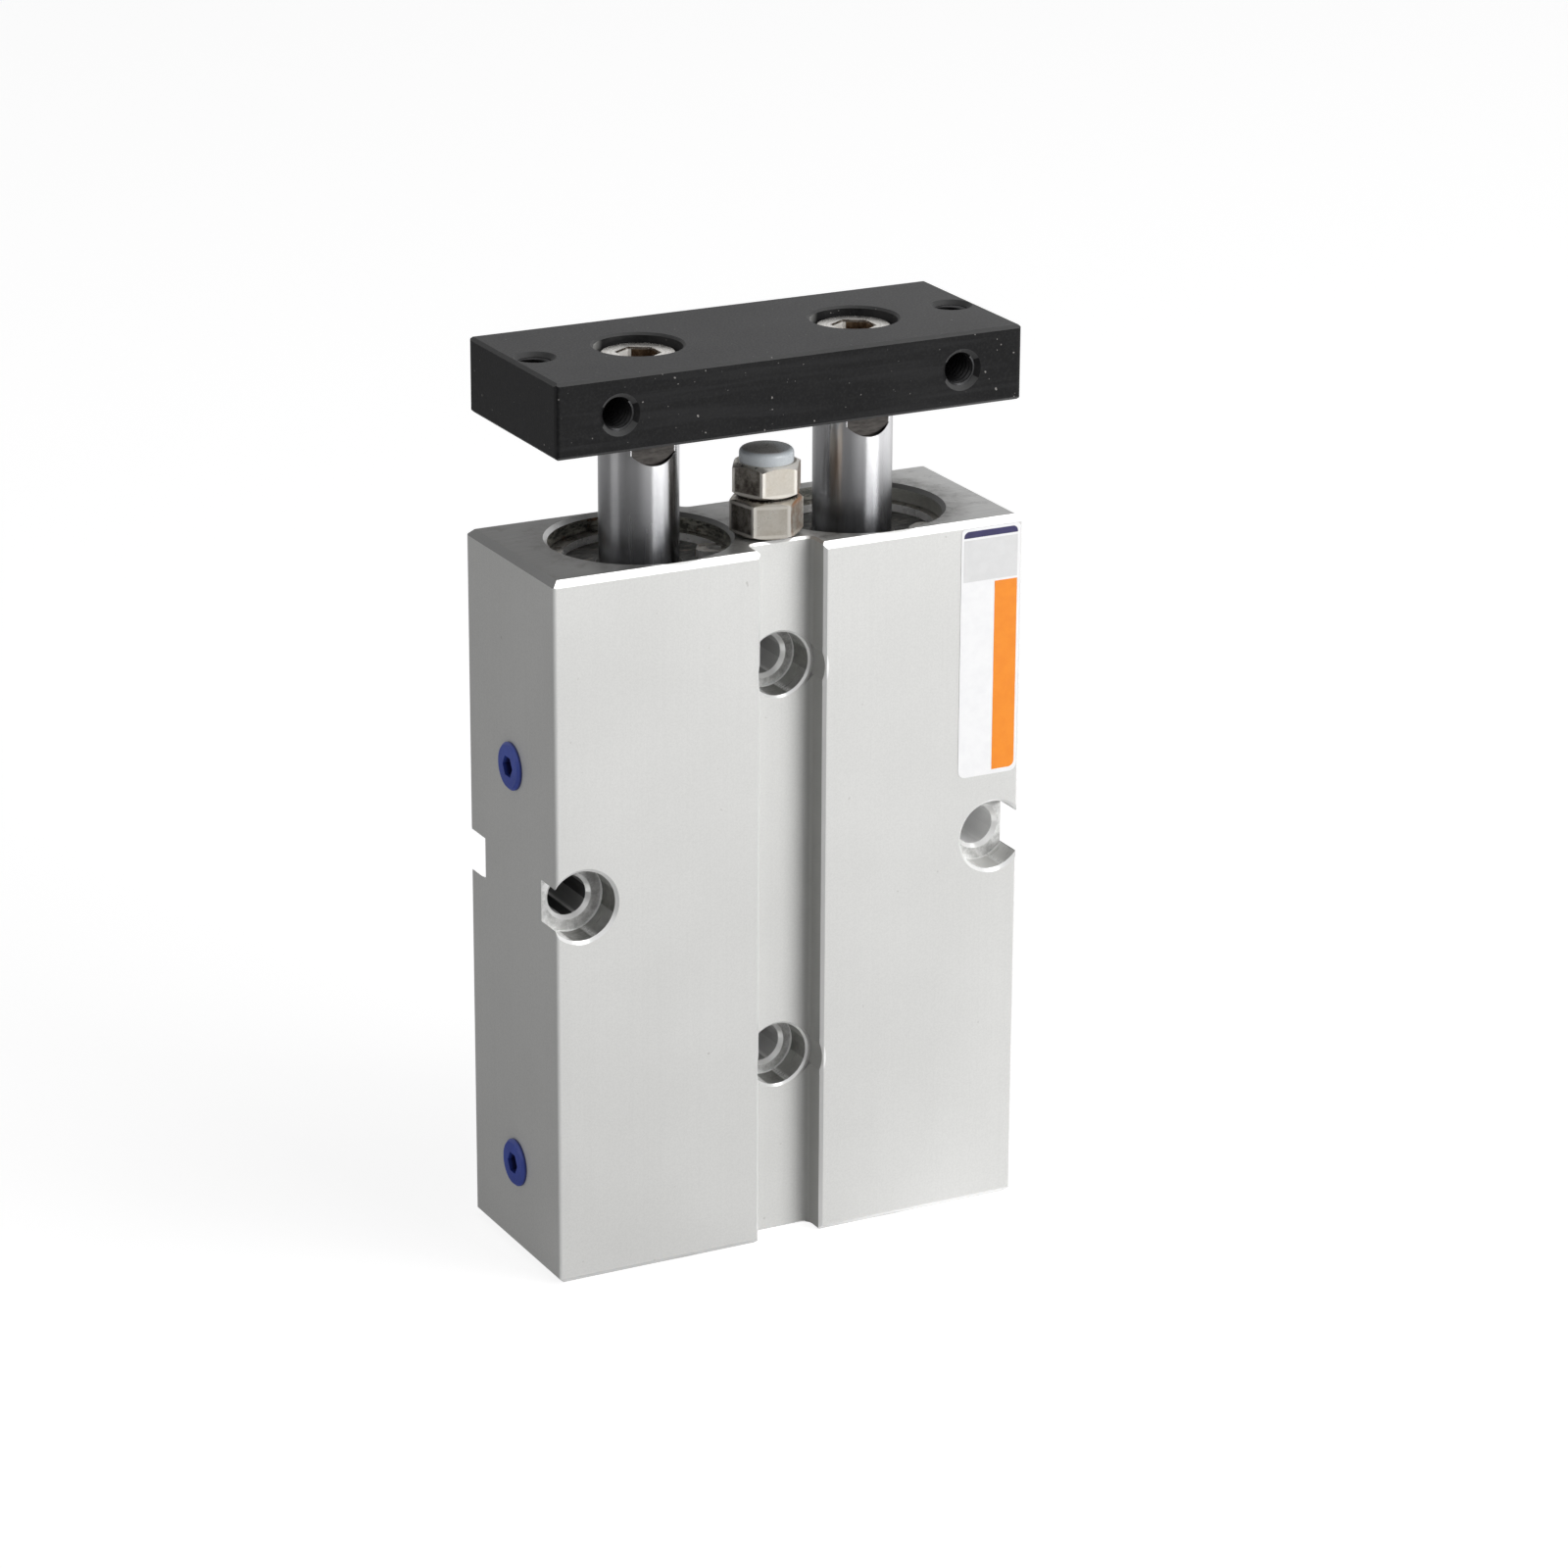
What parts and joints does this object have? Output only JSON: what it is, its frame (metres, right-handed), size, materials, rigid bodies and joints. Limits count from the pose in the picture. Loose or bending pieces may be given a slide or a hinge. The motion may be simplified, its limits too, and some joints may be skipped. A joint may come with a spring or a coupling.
{
  "type": "guided pneumatic cylinder",
  "caption": "Compact guided pneumatic cylinder: a grooved rectangular barrel with twin pistons, parallel chromed rods, a tooling plate, a stroke adjuster and plugged side ports.",
  "frame": {"origin": "centre of the barrel's bottom face, midway between the two bores", "axes": "+Z along the rods towards the tooling plate, X across the two rods with the ports on the -X side, -Y out of the front face that carries the adjuster's side"},
  "size_m": [0.0652, 0.0254, 0.1164],
  "materials": {
    "barrel_anodised": "fine matte clear anodising on an extrusion, with bright machined edges",
    "bearing_alloy": "turned, brownish grey bearing alloy",
    "cover_alloy": "turned",
    "seal_rubber": "smooth black",
    "ring_steel": "oiled spring steel with bright edges",
    "plate_black_anodised": "satin black anodised",
    "rod_chrome": "hard chrome, ground and polished",
    "piston_alloy": "turned",
    "wear_ring_resin": "filled bearing resin",
    "magnet_ferrite": "moulded ferrite",
    "bumper_rubber": "matte",
    "nut_steel": "plain",
    "screw_nickel": "nickel plated",
    "adjuster_nickel": "nickel plated, warm and slightly worn at the edges",
    "pad_resin": "satin grey-white",
    "plug_blue": "satin blue moulding",
    "label_film": "thin printed film, blank field with an orange stripe"
  },
  "bodies": {
    "barrel": {"body": "barrel_anodised", "front_cover_left": "bearing_alloy", "front_cover_right": "bearing_alloy", "rod_packing_left": "seal_rubber", "rod_packing_right": "seal_rubber", "front_cover_oring_left": "seal_rubber", "front_cover_oring_right": "seal_rubber", "front_circlip_left": "ring_steel", "front_circlip_right": "ring_steel", "rear_cover_left": "cover_alloy", "rear_cover_right": "cover_alloy", "rear_cover_oring_left": "seal_rubber", "rear_cover_oring_right": "seal_rubber", "rear_circlip_left": "ring_steel", "rear_circlip_right": "ring_steel"},
    "rod_assembly": {"tooling_plate": "plate_black_anodised", "piston_rod_left": "rod_chrome", "piston_rod_right": "rod_chrome", "piston_left": "piston_alloy", "piston_right": "piston_alloy", "piston_wear_ring_left": "wear_ring_resin", "piston_wear_ring_right": "wear_ring_resin", "piston_magnet_left": "magnet_ferrite", "piston_magnet_right": "magnet_ferrite", "piston_seal_left": "seal_rubber", "piston_seal_right": "seal_rubber", "piston_bumper_left": "bumper_rubber", "piston_bumper_right": "bumper_rubber", "rod_nut_left": "nut_steel", "rod_nut_right": "nut_steel", "plate_screw_left": "screw_nickel", "plate_screw_right": "screw_nickel"},
    "adjuster": {"adjuster_bolt": "adjuster_nickel", "adjuster_pad": "pad_resin"},
    "locknut": {"adjuster_locknut": "adjuster_nickel"},
    "lower_plug": {"port_plug_lower": "plug_blue"},
    "upper_plug": {"port_plug_upper": "plug_blue"}
  },
  "joints": [
    {"name": "rod_slide", "type": "slide", "parent": "barrel", "child": "rod_assembly", "axis": [0, 0, 1], "range_m": [-0.0036, 0.0264]},
    {"name": "adjuster_turn", "type": "hinge", "parent": "barrel", "child": "adjuster", "pos_m": [0, -0.0054, 0.099], "axis": [0, 0, 1], "continuous": true},
    {"name": "locknut_turn", "type": "hinge", "parent": "adjuster", "child": "locknut", "pos_m": [0, -0.0054, 0.0945], "axis": [0, 0, 1], "continuous": true},
    {"name": "lower_plug_pull", "type": "slide", "parent": "barrel", "child": "lower_plug", "axis": [-1, 0, 0], "range_m": [0, 0.01]},
    {"name": "upper_plug_pull", "type": "slide", "parent": "barrel", "child": "upper_plug", "axis": [-1, 0, 0], "range_m": [0, 0.01]}
  ]
}
